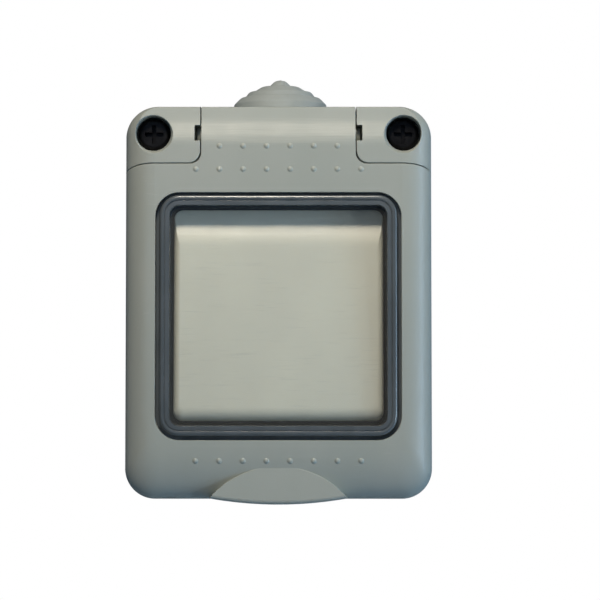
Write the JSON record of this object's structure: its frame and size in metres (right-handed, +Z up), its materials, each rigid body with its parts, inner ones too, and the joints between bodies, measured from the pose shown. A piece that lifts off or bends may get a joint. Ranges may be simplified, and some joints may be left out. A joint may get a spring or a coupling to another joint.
{
  "type": "weatherproof bell push",
  "caption": "Surface-mounted weatherproof bell push with a hinged lid, a clear membrane over a large push plate, and a stepped cable gland.",
  "frame": {"origin": "centre of the cover's height and width, on the face that lies against the wall", "axes": "+Z up, the front faces -Y, +X to the right as seen from the front"},
  "size_m": [0.066, 0.0504, 0.095],
  "materials": {
    "grey_moulding": "moulded, light sheen",
    "gland_rubber": "matt",
    "seal_rubber": "matt",
    "clear_membrane": "clear, soft",
    "rocker_plastic": "moulded, satin",
    "dark_plastic": "moulded, matt",
    "pale_plastic": "moulded, matt",
    "black_screw": "blacked steel",
    "zinc_screw": "zinc plated",
    "brass": "stamped",
    "spring_steel": "drawn wire"
  },
  "bodies": {
    "housing": {"back_box": "grey_moulding", "cable_gland": "gland_rubber", "box_gasket": "seal_rubber", "front_frame": "grey_moulding", "support_frame": "dark_plastic", "support_screws": "zinc_screw", "mechanism_body": "dark_plastic", "mechanism_base": "pale_plastic", "return_spring": "spring_steel", "frame_screw_top_left": "black_screw", "frame_screw_top_right": "black_screw", "frame_screw_bottom_left": "black_screw", "frame_screw_bottom_right": "black_screw", "fixed_contact_left": "brass", "fixed_contact_right": "brass", "terminal_clamp_left": "brass", "terminal_clamp_right": "brass", "terminal_screw_left": "zinc_screw", "terminal_screw_right": "zinc_screw"},
    "lid_assembly": {"lid": "grey_moulding", "window_membrane": "clear_membrane", "membrane_retainer": "dark_plastic"},
    "rocker_plate": {"rocker": "rocker_plastic"},
    "plunger_group": {"plunger": "pale_plastic", "contact_bridge": "brass"}
  },
  "joints": [
    {"name": "lid_hinge", "type": "hinge", "parent": "housing", "child": "lid_assembly", "pos_m": [0, -0.045, 0.03625], "axis": [-1, 0, 0], "range_deg": [0, 110]},
    {"name": "rocker_press", "type": "hinge", "parent": "housing", "child": "rocker_plate", "pos_m": [0, -0.0395, -0.00305], "axis": [1, 0, 0], "range_deg": [0, 5], "stiffness_Nm_per_rad": 0.3, "springref_deg": -2.86, "deforming": ["window_membrane"]},
    {"name": "plunger_slide", "type": "slide", "parent": "housing", "child": "plunger_group", "axis": [0, 1, 0], "range_m": [0, 0.00088], "deforming": ["return_spring"]}
  ],
  "couplings": [
    {"joint": "plunger_slide", "follows": "rocker_press", "m_per_rad": 0.01}
  ]
}
